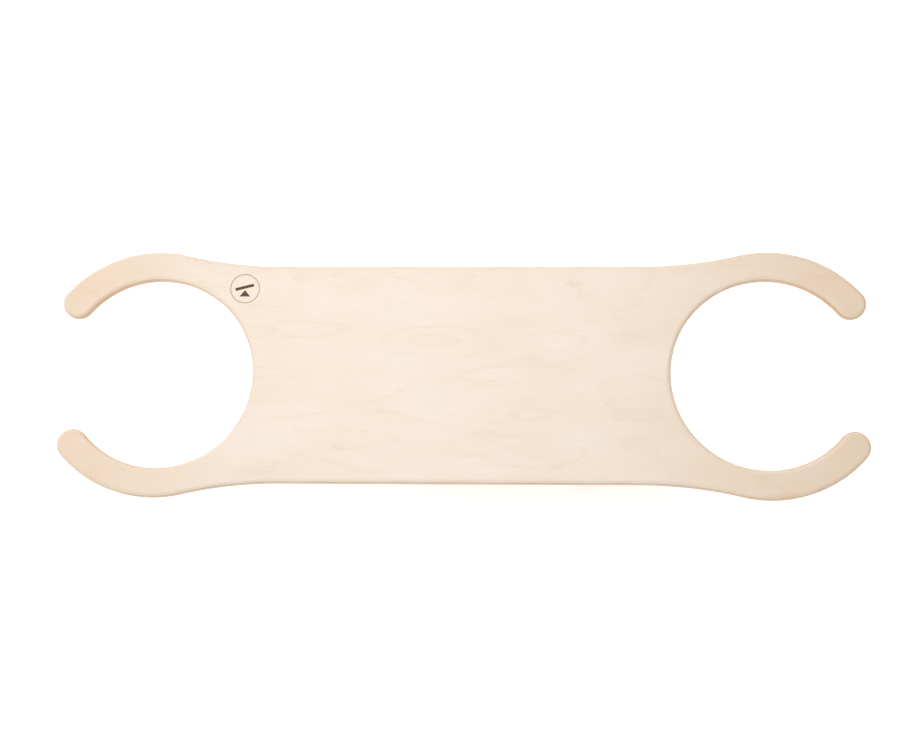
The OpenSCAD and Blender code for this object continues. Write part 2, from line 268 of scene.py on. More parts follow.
def outward(x, y, z):
    """The place of a turned piece whose local Z axis points along Y, away from the middle."""
    side = 1 if y > 0 else -1
    return Matrix.Translation((x, y, z)) @ Matrix.Rotation(math.radians(-90 * side), 4, "X")


# ---- Materials ----


def srgb(red, green, blue):
    """A colour given as 8-bit sRGB, in the linear values that the shader takes."""
    linear = []
    for value in (red, green, blue):
        c = value / 255
        linear.append(c / 12.92 if c <= 0.04045 else ((c + 0.055) / 1.055) ** 2.4)
    return (*linear, 1.0)


class Graph:
    """Builds a material's nodes; every input is a number, a colour or another node's output."""

    def __init__(self, name):
        self.material = bpy.data.materials.new(name)
        self.material.use_nodes = True
        self.tree = self.material.node_tree
        self.shader = self.tree.nodes["Principled BSDF"]
        coordinates = self.tree.nodes.new("ShaderNodeTexCoord")
        scale = self.tree.nodes.new("ShaderNodeVectorMath")
        scale.operation = "SCALE"
        scale.inputs["Scale"].default_value = 1 / MM
        self.tree.links.new(coordinates.outputs["Object"], scale.inputs[0])
        self.point = scale.outputs[0]
        self.normal = coordinates.outputs["Normal"]

    def feed(self, socket, value):
        if isinstance(value, bpy.types.NodeSocket):
            self.tree.links.new(value, socket)
        else:
            socket.default_value = value

    def math(self, operation, a, b=0.0, c=0.0):
        node = self.tree.nodes.new("ShaderNodeMath")
        node.operation = operation
        for socket, value in zip(node.inputs, (a, b, c)):
            self.feed(socket, value)
        return node.outputs[0]

    def split(self, vector):
        node = self.tree.nodes.new("ShaderNodeSeparateXYZ")
        self.feed(node.inputs[0], vector)
        return list(node.outputs)

    def join(self, x, y, z):
        node = self.tree.nodes.new("ShaderNodeCombineXYZ")
        for socket, value in zip(node.inputs, (x, y, z)):
            self.feed(socket, value)
        return node.outputs[0]

    def stretched(self, u, v, w, sizes, seed):
        """A texture vector in which one unit is the given number of millimetres along each axis."""
        parts = [self.math("DIVIDE", value, size) for value, size in zip((u, v, w), sizes)]
        parts[0] = self.math("ADD", parts[0], seed)
        return self.join(*parts)

    def noise(self, vector, detail=2.0, roughness=0.5):
        node = self.tree.nodes.new("ShaderNodeTexNoise")
        self.feed(node.inputs["Vector"], vector)
        node.inputs["Scale"].default_value = 1.0
        node.inputs["Detail"].default_value = detail
        node.inputs["Roughness"].default_value = roughness
        return node.outputs["Fac"]

    def spots(self, vector):
        """The distance to the nearest of a set of scattered points."""
        node = self.tree.nodes.new("ShaderNodeTexVoronoi")
        self.feed(node.inputs["Vector"], vector)
        node.inputs["Scale"].default_value = 1.0
        return node.outputs["Distance"]

    def vector_math(self, operation, a, b):
        node = self.tree.nodes.new("ShaderNodeVectorMath")
        node.operation = operation
        self.feed(node.inputs[0], a)
        self.feed(node.inputs[1], b)
        return node

    def smooth(self, value, low, high, out_low=0.0, out_high=1.0):
        node = self.tree.nodes.new("ShaderNodeMapRange")
        node.interpolation_type = "SMOOTHSTEP"
        sockets = ("Value", "From Min", "From Max", "To Min", "To Max")
        for socket, number in zip(sockets, (value, low, high, out_low, out_high)):
            self.feed(node.inputs[socket], number)
        return node.outputs["Result"]

    def mix(self, factor, a, b):
        node = self.tree.nodes.new("ShaderNodeMix")
        node.data_type = "RGBA"
        self.feed(node.inputs["Factor"], factor)
        self.feed(node.inputs[6], a)
        self.feed(node.inputs[7], b)
        return node.outputs[2]

    def bump(self, height, strength, distance):
        node = self.tree.nodes.new("ShaderNodeBump")
        node.inputs["Strength"].default_value = strength
        node.inputs["Distance"].default_value = distance
        self.feed(node.inputs["Height"], height)
        return node.outputs["Normal"]

    def finish(self, colour, roughness, normal=None, **uniform):
        self.feed(self.shader.inputs["Base Color"], colour)
        self.feed(self.shader.inputs["Roughness"], roughness)
        if normal is not None:
            self.feed(self.shader.inputs["Normal"], normal)
        for name, value in uniform.items():
            self.shader.inputs[name.replace("_", " ").title().replace("Ior", "IOR")].default_value = value
        return self.material


BIRCH = srgb(244, 230, 216)
BIRCH_TAN = srgb(226, 192, 150)
BIRCH_END = srgb(178, 138, 106)
GLUE = srgb(150, 108, 72)

# Growth figure of the board's face veneer, in mm: middle, half length and half width of each oval
FIGURE_OVALS = [
    (-20, 45, 90, 24), (130, 45, 60, 16), (200, 130, 85, 55), (-130, -90, 160, 40),
    (110, -110, 70, 26), (-235, 20, 70, 20), (240, -30, 90, 40), (-60, 160, 150, 40),
]


def ply_layers(g, place, low, high, plies, seed):
    """The number of the ply that the surface cuts, and how much glue and how much inner ply shows there."""
    u, v, w = place
    depth = g.math("SUBTRACT", w, low / MM)
    count = g.math("MULTIPLY", depth, plies / ((high - low) / MM))
    wander = g.noise(g.stretched(u, v, w, (45, 45, 45), seed + 7), detail=1)
    count = g.math("ADD", count, g.math("MULTIPLY", g.math("SUBTRACT", wander, 0.5), 0.35))
    count = g.math("MINIMUM", g.math("MAXIMUM", count, 0.4), plies - 0.4)
    fraction = g.math("FRACT", count)
    to_line = g.math("MINIMUM", fraction, g.math("SUBTRACT", 1.0, fraction))
    glue = g.smooth(to_line, 0.10, 0.03)
    inner = g.smooth(g.math("MINIMUM", count, g.math("SUBTRACT", plies, count)), 0.75, 1.0)
    return g.math("FLOOR", count), glue, inner


def oval_hill(g, u, v, oval):
    """A smooth hill in the growth field, whose rings are the ovals of the figure."""
    middle_u, middle_v, half_l, half_w = oval
    shift = g.vector_math("SUBTRACT", g.join(u, v, 0.0), (middle_u, middle_v, 0))
    squeeze = g.vector_math("DIVIDE", shift.outputs[0], (half_l, half_w, 1))
    square = g.vector_math("DOT_PRODUCT", squeeze.outputs[0], squeeze.outputs[0])
    return g.math("MULTIPLY", g.math("POWER", math.exp(-1.0), square.outputs["Value"]), 0.62)


def growth_bands(g, u, v, ply_seed, ruffle, patch, ovals, seed):
    """Growth rings as the peeling knife cut them: a sharp dark side that fades out over the band."""
    drift = g.noise(g.stretched(u, v, ply_seed, (210, 46, 1), seed), detail=3, roughness=0.45)
    field = g.math("ADD", g.math("MULTIPLY", drift, 1.1), g.math("MULTIPLY", ruffle, 0.07))
    for oval in ovals:
        field = g.math("ADD", field, oval_hill(g, u, v, oval))
    rings = g.math("FRACT", g.math("MULTIPLY", field, 3.4))
    band = g.math("POWER", g.math("SUBTRACT", 1.0, rings), 5.0)
    band = g.math("MULTIPLY", band, g.smooth(rings, 0.0, 0.05))
    return g.math("MULTIPLY", band, g.smooth(patch, 0.36, 0.62, 0.12, 1.0))


def engraving(g, place, high, colour, seed):
    """The burnt colour inside the mark, and where it is: a pale ring round darker shapes."""
    u, v, w = place
    du = g.math("SUBTRACT", u, MARK.x / MM)
    dv = g.math("SUBTRACT", v, MARK.y / MM)
    reach = g.math("SQRT", g.math("ADD", g.math("MULTIPLY", du, du), g.math("MULTIPLY", dv, dv)))
    sunk = g.math("LESS_THAN", w, (high - MARK_DEPTH / 6) / MM)
    sunk = g.math("MULTIPLY", sunk, g.math("GREATER_THAN", w, (high - 2 * MARK_DEPTH) / MM))
    burn = g.math("MULTIPLY", sunk, g.math("LESS_THAN", reach, (MARK_R + 2 * MM) / MM))
    in_ring = g.math("GREATER_THAN", reach, (MARK_R - 2 * MARK_LINE) / MM)
    char = g.noise(g.stretched(u, v, w, (1.5, 0.8, 0.8), seed), detail=3)
    brown = g.mix(g.smooth(char, 0.3, 0.7), srgb(74, 46, 26), srgb(108, 74, 46))
    ring_tan = g.mix(g.smooth(char, 0.3, 0.7), srgb(186, 148, 104), srgb(214, 180, 138))
    return g.mix(burn, colour, g.mix(in_ring, brown, ring_tan)), burn


def birch(name, grain, through, low, high, seed, figure=False, plies=13):
    """Clear-lacquered birch plywood. The face grain runs along one axis and the plies lie across another."""
    g = Graph(name)
    across = 3 - grain - through
    position = g.split(g.point)
    normal = g.split(g.normal)
    u, v, w = place = position[grain], position[across], position[through]
    along_normal = g.math("ABSOLUTE", normal[grain])
    across_normal = g.math("ABSOLUTE", normal[across])
    face_normal = g.math("ABSOLUTE", normal[through])

    # End grain shows where a surface faces along its own ply's grain, which turns from ply to ply
    ply, glue, inner = ply_layers(g, place, low, high, plies, seed)
    odd = g.math("MODULO", ply, 2.0)
    ply_seed = g.math("MULTIPLY", ply, 13.7)
    cross_end = g.math("MULTIPLY", g.math("MULTIPLY", across_normal, odd), g.smooth(face_normal, 0.92, 0.5))
    end_normal = g.math("MULTIPLY_ADD", along_normal, g.math("SUBTRACT", 1.0, odd), cross_end)
    end_grain = g.smooth(end_normal, 0.2, 0.85)
    end_grain = g.math("MULTIPLY", end_grain, g.smooth(face_normal, 0.97, 0.8))

    ruffle = g.noise(g.stretched(u, v, 0.0, (26, 7, 1), seed + 31), detail=2)
    patch = g.noise(g.stretched(u, v, 0.0, (120, 38, 1), seed + 11), detail=2)
    band = growth_bands(g, u, v, ply_seed, ruffle, patch, FIGURE_OVALS if figure else [], seed)

    # Long fibres, short dashes where vessels are cut, slow changes of tone and a few stains
    fibres = g.noise(g.stretched(u, v, w, (30, 0.8, 0.8), seed + 3), detail=4, roughness=0.65)
    dashes = g.noise(g.stretched(u, v, w, (6.5, 0.55, 0.55), seed + 17), detail=1)
    dash_patch = g.noise(g.stretched(u, v, 0.0, (60, 24, 1), seed + 23), detail=1)
    dashes = g.math("MULTIPLY", g.smooth(dashes, 0.66, 0.80), g.smooth(dash_patch, 0.42, 0.66))
    tone = g.noise(g.stretched(u, v, 0.0, (170, 75, 1), seed + 5), detail=2)
    blots = g.spots(g.stretched(u, v, 0.0, (92, 46, 1), seed + 41))
    blots = g.math("MULTIPLY_ADD", g.math("SUBTRACT", ruffle, 0.5), 0.22, blots)
    stain = g.math("MULTIPLY", g.smooth(blots, 0.20, 0.05), g.smooth(patch, 0.40, 0.60))

    colour = g.mix(g.smooth(tone, 0.3, 0.75, 0.0, 0.16), BIRCH, BIRCH_TAN)
    colour = g.mix(g.math("MULTIPLY", band, 0.22), colour, BIRCH_TAN)
    colour = g.mix(g.math("MULTIPLY", stain, 0.22), colour, BIRCH_TAN)
    colour = g.mix(g.smooth(fibres, 0.42, 0.70, 0.0, 0.16), colour, BIRCH_TAN)
    colour = g.mix(g.math("MULTIPLY", dashes, 0.35), colour, BIRCH_END)
    if figure:
        # Painted shade: the face is tinted tan towards both ends of the board, darkening the ends as less light
        # would
        right_end_painted_shade = g.smooth(u, 150.0, 560.0, 0.0, 0.42)
        left_end_painted_shade = g.smooth(u, -260.0, -580.0, 0.0, 0.42)
        colour = g.mix(g.math("ADD", right_end_painted_shade, left_end_painted_shade), colour, BIRCH_TAN)

    # The cut edges: end grain, its pores, a tan tint that is partly painted shade, and the glue lines
    pores = g.smooth(g.spots(g.stretched(u, v, w, (0.5, 0.5, 0.5), seed)), 0.35, 0.12)
    edge_tone = g.noise(g.stretched(u, v, ply_seed, (14, 14, 1), seed + 2), detail=2)
    end_amount = g.math("MULTIPLY", end_grain, g.smooth(edge_tone, 0.3, 0.7, 0.65, 0.95))
    colour = g.mix(end_amount, colour, BIRCH_END)
    colour = g.mix(g.math("MULTIPLY", g.math("MULTIPLY", pores, end_grain), 0.4), colour, GLUE)
    # Surfaces that turn away from the face are tinted tan: partly the cut plies' own colour, partly painted shade
    # that darkens the edges
    side = g.smooth(face_normal, 0.85, 0.35)
    colour = g.mix(g.math("MULTIPLY", side, 0.42), colour, BIRCH_TAN)
    glue = g.math("MULTIPLY", g.math("MULTIPLY", glue, inner), side)
    colour = g.mix(g.math("MULTIPLY", glue, 0.55), colour, GLUE)

    # Handling rubs the rounded edges a little darker in places
    wear = g.math("MULTIPLY", g.math("MULTIPLY", face_normal, g.math("SUBTRACT", 1.0, face_normal)), 4.0)
    rub = g.noise(g.stretched(u, v, w, (38, 38, 12), seed + 53), detail=3)
    wear = g.math("MULTIPLY", wear, g.smooth(rub, 0.45, 0.75))
    colour = g.mix(g.math("MULTIPLY", wear, 0.22), colour, BIRCH_END)

    height = g.math("MULTIPLY", fibres, 0.5)
    height = g.math("SUBTRACT", height, g.math("MULTIPLY", dashes, 0.5))
    height = g.math("SUBTRACT", height, g.math("MULTIPLY", g.math("MULTIPLY", pores, end_grain), 0.9))
    height = g.math("SUBTRACT", height, g.math("MULTIPLY", glue, 0.5))
    rough = g.smooth(fibres, 0.35, 0.7, 0.44, 0.56)
    rough = g.math("ADD", rough, g.math("MULTIPLY", end_grain, 0.16))
    rough = g.math("SUBTRACT", rough, g.math("MULTIPLY", wear, 0.10))
    if figure:
        colour, burn = engraving(g, place, high, colour, seed)
        rough = g.math("ADD", rough, g.math("MULTIPLY", burn, 0.3))
    return g.finish(colour, rough, g.bump(height, 0.22, 0.12 * MM), ior=1.46, coat_weight=0.12,
                    coat_roughness=0.32)


def beech(name):
    g = Graph(name)
    x, y, z = g.split(g.point)
    fibres = g.noise(g.stretched(x, y, z, (0.7, 18, 0.7), 2.0), detail=3)
    flecks = g.smooth(g.noise(g.stretched(x, y, z, (0.5, 2.2, 0.5), 9.0), detail=1), 0.62, 0.75)
    colour = g.mix(g.smooth(fibres, 0.3, 0.7), srgb(218, 184, 142), srgb(196, 156, 112))
    colour = g.mix(g.math("MULTIPLY", flecks, 0.5), colour, srgb(150, 108, 72))
    return g.finish(colour, g.smooth(fibres, 0.3, 0.7, 0.5, 0.65), g.bump(fibres, 0.2, 0.1 * MM), ior=1.46)


def steel(name, light, dark, rough, metallic=1.0):
    """Plated or blackened steel with fine turning marks, smudges and rubbed high spots."""
    g = Graph(name)
    x, y, z = g.split(g.point)
    marks = g.noise(g.stretched(x, y, z, (3.0, 0.12, 3.0), 1.0), detail=2)
    smudge = g.noise(g.stretched(x, y, z, (9, 9, 9), 4.0), detail=3)
    specks = g.smooth(g.noise(g.stretched(x, y, z, (0.5, 0.5, 0.5), 6.0), detail=2), 0.62, 0.74)
    colour = g.mix(g.smooth(smudge, 0.3, 0.7), light, dark)
    colour = g.mix(g.math("MULTIPLY", specks, 0.3), colour, dark)
    gloss = g.smooth(smudge, 0.3, 0.7, rough - 0.06, rough + 0.08)
    gloss = g.math("ADD", gloss, g.math("MULTIPLY", specks, 0.1))
    return g.finish(colour, gloss, g.bump(marks, 0.12, 0.05 * MM), metallic=metallic)


def rubber(name):
    """Moulded black rubber: a fine grain, patches of dust and paler scuffs."""
    g = Graph(name)
    x, y, z = g.split(g.point)
    grain = g.noise(g.stretched(x, y, z, (0.35, 0.35, 0.35), 3.0), detail=3, roughness=0.6)
    cloud = g.noise(g.stretched(x, y, z, (7, 7, 7), 8.0), detail=3)
    scuff = g.smooth(g.noise(g.stretched(x, y, z, (9, 1.2, 1.2), 12.0), detail=2), 0.62, 0.78)
    dust = g.math("MULTIPLY", g.smooth(cloud, 0.45, 0.75), 0.35)
    colour = g.mix(dust, srgb(44, 44, 46), srgb(92, 89, 84))
    colour = g.mix(g.math("MULTIPLY", scuff, 0.3), colour, srgb(112, 109, 104))
    height = g.math("ADD", grain, g.math("MULTIPLY", cloud, 0.4))
    return g.finish(colour, g.smooth(cloud, 0.3, 0.7, 0.62, 0.82), g.bump(height, 0.35, 0.1 * MM), ior=1.5)


def nylon(name):
    g = Graph(name)
    x, y, z = g.split(g.point)
    cloud = g.noise(g.stretched(x, y, z, (6, 6, 6), 2.0), detail=2)
    fine = g.noise(g.stretched(x, y, z, (0.5, 0.5, 0.5), 5.0), detail=2)
    colour = g.mix(g.smooth(cloud, 0.3, 0.7), srgb(236, 232, 220), srgb(220, 214, 198))
    return g.finish(colour, g.smooth(cloud, 0.3, 0.7, 0.38, 0.5), g.bump(fine, 0.12, 0.05 * MM),
                    subsurface_weight=0.05)


zinc = steel("zinc_steel", srgb(205, 208, 212), srgb(168, 171, 176), 0.30)
black_steel = steel("black_steel", srgb(62, 62, 65), srgb(40, 40, 42), 0.36, metallic=0.85)
yellow_brass = steel("brass", srgb(214, 180, 104), srgb(184, 146, 78), 0.28)
black_rubber = rubber("rubber")
white_nylon = nylon("nylon")
plain_beech = beech("beech")

# ---- The board ----


def board_outline():
    """The outline of the board, counter-clockwise, from the waist round each arm."""
    neck_x = ARM_X - math.sqrt((NECK_R + ARM_R) ** 2 - (NECK_R + HALF_WAIST) ** 2)
    neck_y = HALF_WAIST + NECK_R
    shift = ARM_X - CUTOUT_X
    lean = math.cos(math.radians(TIP_ANGLE))
    tip_r = (ARM_R ** 2 - CUTOUT_R ** 2 - shift ** 2 + 2 * shift * CUTOUT_R * lean) / (
        2 * (CUTOUT_R + ARM_R - shift * lean))
    tip = (CUTOUT_X + (CUTOUT_R + tip_r) * lean, (CUTOUT_R + tip_r) * math.sin(math.radians(TIP_ANGLE)))
    neck_turn = math.degrees(math.atan2(-neck_y, ARM_X - neck_x))
    tip_turn = math.degrees(math.atan2(tip[1], tip[0] - ARM_X))
    quarter = arc((neck_x, neck_y), NECK_R, -90, neck_turn, 20)
    quarter += arc((ARM_X, 0), ARM_R, 180 + neck_turn, tip_turn, 44)
    quarter += arc(tip, tip_r, tip_turn, TIP_ANGLE - 180, 36)
    quarter += arc((CUTOUT_X, 0), CUTOUT_R, TIP_ANGLE, 180, 90)
    right = quarter + [(CUTOUT_X - CUTOUT_R, 0)] + mirrored(quarter, 1, -1)
    return right + mirrored(right, -1, 1)


def add_mark(bm):
    """The shapes that the engraving cuts out: a ring, and a bar balanced on a wedge."""
    low = board_high.z - MARK_DEPTH
    high = board_high.z + MARK_DEPTH
    at_mark = Matrix.Translation((MARK.x, MARK.y, 0))
    ring = [(MARK_R, low), (MARK_R, high), (MARK_R - MARK_LINE, high), (MARK_R - MARK_LINE, low)]
    add_lathe(bm, ring, at_mark, closed=True, segments=96)
    length, height = MARK_BAR
    tilt = Matrix.Rotation(math.radians(MARK_BAR_TILT), 2)
    corners = [(-length / 2, 0), (length / 2, 0), (length / 2, height), (-length / 2, height)]
    bar = [tuple(MARK + tilt @ Vector(corner)) for corner in corners]
    add_plate(bm, bar, low, high, flat, 0)
    width, drop = MARK_WEDGE
    foot_y = MARK.y - drop
    wedge = [(MARK.x, MARK.y - MARK_GAP), (MARK.x - width / 2, foot_y), (MARK.x + width / 2, foot_y)]
    add_plate(bm, wedge, low, high, flat, 0)


def hole(bm, low, high, radius, segments=32):
    """A drill that goes from one point to another."""
    axis = Vector(high) - Vector(low)
    place = Matrix.Translation(low) @ axis.to_track_quat("Z", "Y").to_matrix().to_4x4()
    add_lathe(bm, [(radius, 0), (radius, axis.length)], place, segments=segments)


BUFFER_SCREW_HOLE_R = 2.1 * MM


def make_board():
    bm = bmesh.new()
    add_plate(bm, board_outline(), board_low.z, board_high.z, flat, BOARD_ROUND, steps=8)
    piece = finish_mesh(bm, "board_shaped")
    cutter = bmesh.new()
    add_mark(cutter)
    for low, high in solids("board_inserts"):
        middle = (low + high) / 2
        radius = (high.x - low.x) / 2 + FIT
        hole(cutter, (middle.x, middle.y, low.z - PAST), (middle.x, middle.y, high.z + MM), radius)
    for low, high in solids("buffer_screws"):
        middle = (low + high) / 2
        start = (middle.x, middle.y, board_low.z - PAST)
        hole(cutter, start, (middle.x, middle.y, high.z + MM), BUFFER_SCREW_HOLE_R)
    cut(piece, cutter)
    stand_for(piece, "board", birch("birch_board", 0, 2, board_low.z, board_high.z, 0.0, figure=True))


make_board()

# ---- The other plywood pieces ----

BEARER_NOSE_R = 8 * MM
BEARER_END_H = 22 * MM
BEARER_BELLY_R = 30 * MM
FOOT_R = 12 * MM
ARCH_W = 260 * MM
ARCH_H = 45 * MM
AXLE_HOLE_R = 8.1 * MM
BOLT_HOLE_R = 3.2 * MM
COUNTERBORE_R = 6.5 * MM
SINK_TIP_R = 1.2 * MM
CHEEK_ROUND = 3 * MM
BEARER_ROUND = 2 * MM
BAR_END_ROUND = 0.3 * MM
BEARER_PLIES = 17


def tangent_turn(near, near_r, far, far_r):
    """The direction in which the line that touches two circles on their right faces, in degrees."""
    reach = math.hypot(far[0] - near[0], far[1] - near[1])
    heading = math.atan2(far[1] - near[1], far[0] - near[0])
    return math.degrees(heading - math.acos((near_r - far_r) / reach))


def cheek_outline(low, high):
    top = (AXLE.x, AXLE.z)
    top_r = high.z - AXLE.z
    foot = (high.x - FOOT_R, low.z + FOOT_R)
    turn = tangent_turn(foot, FOOT_R, top, top_r)
    arch_r = ((ARCH_W / 2) ** 2 + ARCH_H ** 2) / (2 * ARCH_H)
    arch = (0, low.z + ARCH_H - arch_r)
    arch_turn = math.degrees(math.atan2(arch_r - ARCH_H, ARCH_W / 2))
    path = [(ARCH_W / 2, low.z)]
    path += arc(foot, FOOT_R, -90, turn, 14)
    path += arc(top, top_r, turn, 180 - turn, 24)
    path += arc((-foot[0], foot[1]), FOOT_R, 180 - turn, 270, 14)
    path += [(-foot[0], low.z)]
    path += arc(arch, arch_r, 180 - arch_turn, arch_turn, 40)
    return path


def bearer_outline(low, high):
    nose = (high.x - BEARER_NOSE_R, high.z - BEARER_END_H + BEARER_NOSE_R)
    turn = tangent_turn((AXLE.x, AXLE.z), BEARER_BELLY_R, nose, BEARER_NOSE_R)
    path = [(high.x, high.z), (low.x, high.z)]
    path += arc((-nose[0], nose[1]), BEARER_NOSE_R, 180, 180 - turn, 10)
    path += arc((AXLE.x, AXLE.z), BEARER_BELLY_R, -180 - turn, turn, 14)
    path += arc(nose, BEARER_NOSE_R, turn, 0, 10)
    path += [(high.x, nose[1])]
    return path


def bar_outline(low, high, radius):
    """The section of a bar in X and Z, with round corners."""
    path = arc((high.x - radius, high.z - radius), radius, 0, 90, 6)
    path += arc((low.x + radius, high.z - radius), radius, 90, 180, 6)
    path += arc((low.x + radius, low.z + radius), radius, 180, 270, 6)
    path += arc((high.x - radius, low.z + radius), radius, 270, 360, 6)
    return path


def drill_y(bm, at, low, high, radius, segments=32):
    """A drill along Y, through a plate from its low face to its high face."""
    hole(bm, (at.x, low.y - PAST, at.z), (at.x, high.y + PAST, at.z), radius, segments)


def make_cheek(node, seed):
    low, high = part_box(node)
    bm = bmesh.new()
    add_plate(bm, cheek_outline(low, high), low.y, high.y, upright, CHEEK_ROUND)
    piece = finish_mesh(bm, node + "_shaped")
    cutter = bmesh.new()
    drill_y(cutter, AXLE, low, high, AXLE_HOLE_R)
    for bolt_low, bolt_high in solids("rail_bolts"):
        middle = (bolt_low + bolt_high) / 2
        if middle.y * low.y > 0:
            drill_y(cutter, middle, low, high, BOLT_HOLE_R)
    cut(piece, cutter)
    stand_for(piece, node, birch("birch_" + node, 0, 1, low.y, high.y, seed))


def make_bearer(node, seed):
    low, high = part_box(node)
    bm = bmesh.new()
    add_plate(bm, bearer_outline(low, high), low.y, high.y, upright, BEARER_ROUND)
    piece = finish_mesh(bm, node + "_shaped")
    cutter = bmesh.new()
    bush_low, bush_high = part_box("bush_outer_front")
    drill_y(cutter, AXLE, low, high, (bush_high.x - bush_low.x) / 2 + FIT, 64)
    for washer_low, washer_high in solids("bearer_washers"):
        middle = (washer_low + washer_high) / 2
        if middle.y * low.y > 0:
            start = (middle.x, middle.y, low.z - PAST)
            hole(cutter, start, (middle.x, middle.y, washer_high.z), COUNTERBORE_R)
    for screw_low, screw_high in solids("brace_screws"):
        middle = (screw_low + screw_high) / 2
        if middle.y * low.y > 0:
            face = screw_high.y if middle.y > 0 else screw_low.y
            head_r = (screw_high.x - screw_low.x) / 2 + 2 * FIT
            sink = [(head_r + PAST, PAST), (head_r, 0), (SINK_TIP_R, SINK_TIP_R - head_r)]
            add_lathe(cutter, sink, outward(middle.x, face, middle.z), segments=32)
    cut(piece, cutter)
    stand_for(piece, node, birch("birch_" + node, 0, 1, low.y, high.y, seed, plies=BEARER_PLIES))


def make_bar(node, seed, edge_r):
    """A brace or a cross rail, which runs along Y with its plies across X and its ends cut square."""
    low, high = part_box(node)
    bm = bmesh.new()
    section = bar_outline(low, high, edge_r)
    add_plate(bm, section, low.y, high.y, upright, BAR_END_ROUND, steps=2, rim=BAR_END_ROUND)
    piece = finish_mesh(bm, node + "_shaped")
    if node.startswith("cross_rail"):
        cutter = bmesh.new()
        for nut_low, nut_high in solids("rail_barrel_nuts"):
            middle = (nut_low + nut_high) / 2
            if middle.x * low.x > 0:
                inner = low.x if low.x > 0 else high.x
                deep = nut_high.x if low.x > 0 else nut_low.x
                start = inner - math.copysign(PAST, middle.x)
                radius = (nut_high.z - nut_low.z) / 2 + 2 * FIT
                hole(cutter, (start, middle.y, middle.z), (deep, middle.y, middle.z), radius)
        cut(piece, cutter)
    stand_for(piece, node, birch("birch_" + node, 1, 0, low.x, high.x, seed))


SIDES = ("front", "back")
ENDS = ("left", "right")
SEED_STEP = 9  # between two pieces of a kind, so that their veneer differs

for place, side in enumerate(SIDES):
    make_cheek("cheek_" + side, 20.0 + SEED_STEP * place)
for place, side in enumerate(SIDES):
    make_bearer("bearer_" + side, 50.0 + SEED_STEP * place)
for place, end in enumerate(ENDS):
    make_bar("bearer_brace_" + end, 80.0 + SEED_STEP * place, 1.5 * MM)
for place, end in enumerate(ENDS):
    make_bar("cross_rail_" + end, 110.0 + SEED_STEP * place, 2 * MM)

# ---- Turned pieces: tubes, washers, bolts, screws and dowels ----

SPIN = 64
THREAD_L = 20 * MM
SOCKET_RIM = 0.61  # radius of a socket's bevelled rim, as a share of the width across its flats


def tube_profile(outer, inner, length, chamfer):
    """The closed section of a tube with broken edges."""
    return [
        (outer - chamfer, 0), (outer, chamfer), (outer, length - chamfer), (outer - chamfer, length),
        (inner + chamfer, length), (inner, length - chamfer), (inner, chamfer), (inner + chamfer, 0),
    ]


def ridged(radius, count, height):
    """A radius that rises and falls round the axis, for knurls and flutes."""
    return lambda angle: radius - height * (0.5 + 0.5 * math.cos(count * angle))


def along_y(low, high):
    """The place of a turned piece that lies along Y in a box."""
    middle = (low + high) / 2
    return Matrix.Translation((middle.x, low.y, middle.z)) @ Matrix.Rotation(math.radians(-90), 4, "X")


def make_turned(node, material, add, segments=SPIN):
    """One piece for a CAD node: the same shape at each of its solids."""
    bm = bmesh.new()
    for low, high in solids(node):
        add(bm, low, high, segments)
    stand_for(finish_mesh(bm, node + "_shaped"), node, material)


def y_tube(inner, chamfer):
    def add(bm, low, high, segments):
        profile = tube_profile((high.x - low.x) / 2, inner, high.y - low.y, chamfer)
        add_lathe(bm, profile, along_y(low, high), closed=True, segments=segments)
    return add


def z_washer(inner, chamfer):
    def add(bm, low, high, segments):
        middle = (low + high) / 2
        profile = tube_profile((high.x - low.x) / 2, inner, high.z - low.z, chamfer)
        place = Matrix.Translation((middle.x, middle.y, low.z))
        add_lathe(bm, profile, place, closed=True, segments=segments)
    return add


def socket(across, rim_z, depth):
    """The points that end a bolt's head: a hexagon socket with a drilled bottom."""
    return [
        (across * SOCKET_RIM, rim_z), (hexagon(across), rim_z - 0.15 * MM),
        (hexagon(across), rim_z - depth), (across * 0.2, rim_z - depth - across * 0.12),
    ]


def shank(radius, length, pitch):
    """A bolt's shank, from its threaded tip up to the underside of the head."""
    points = [(0.72 * radius, -length), (radius * 0.94, -length + 0.4 * radius)]
    turns = int((min(length, THREAD_L) - 1.5 * radius) / pitch)
    for i in range(turns):
        z = -length + 0.5 * radius + i * pitch
        points += [(radius, z + 0.25 * pitch), (radius, z + 0.4 * pitch), (radius * 0.88, z + 0.8 * pitch)]
    return points + [(radius, -0.8 * radius), (radius, 0)]


def dome_profile(head_r, head_h, across, shank_r, length, pitch):
    """A button-head bolt from its tip over its rim and dome down into its socket."""
    rim = 0.25 * head_h
    rise = head_h - rim
    dome_r = (head_r ** 2 + rise ** 2) / (2 * rise)
    points = shank(shank_r, length, pitch)
    points += [(head_r - 0.3 * MM, 0), (head_r, 0.3 * MM), (head_r, rim - 0.2 * MM)]
    start_r = head_r - 0.15 * MM
    for i in range(9):
        r = start_r - (start_r - across * SOCKET_RIM) * i / 8
        points.append((r, head_h - dome_r + math.sqrt(dome_r ** 2 - r ** 2)))
    top = points.pop()[1]
    return points + socket(across, top, 0.55 * head_h)


def dome_bolt(head_h, across, shank_r, length, pitch):
    def add(bm, low, high, segments):
        middle = (low + high) / 2
        tip = low.y if middle.y > 0 else high.y
        seat = tip + math.copysign(length, middle.y)
        profile = dome_profile((high.x - low.x) / 2, head_h, across, shank_r, length, pitch)
        add_lathe(bm, profile, outward(middle.x, seat, middle.z), segments=segments)
    return add


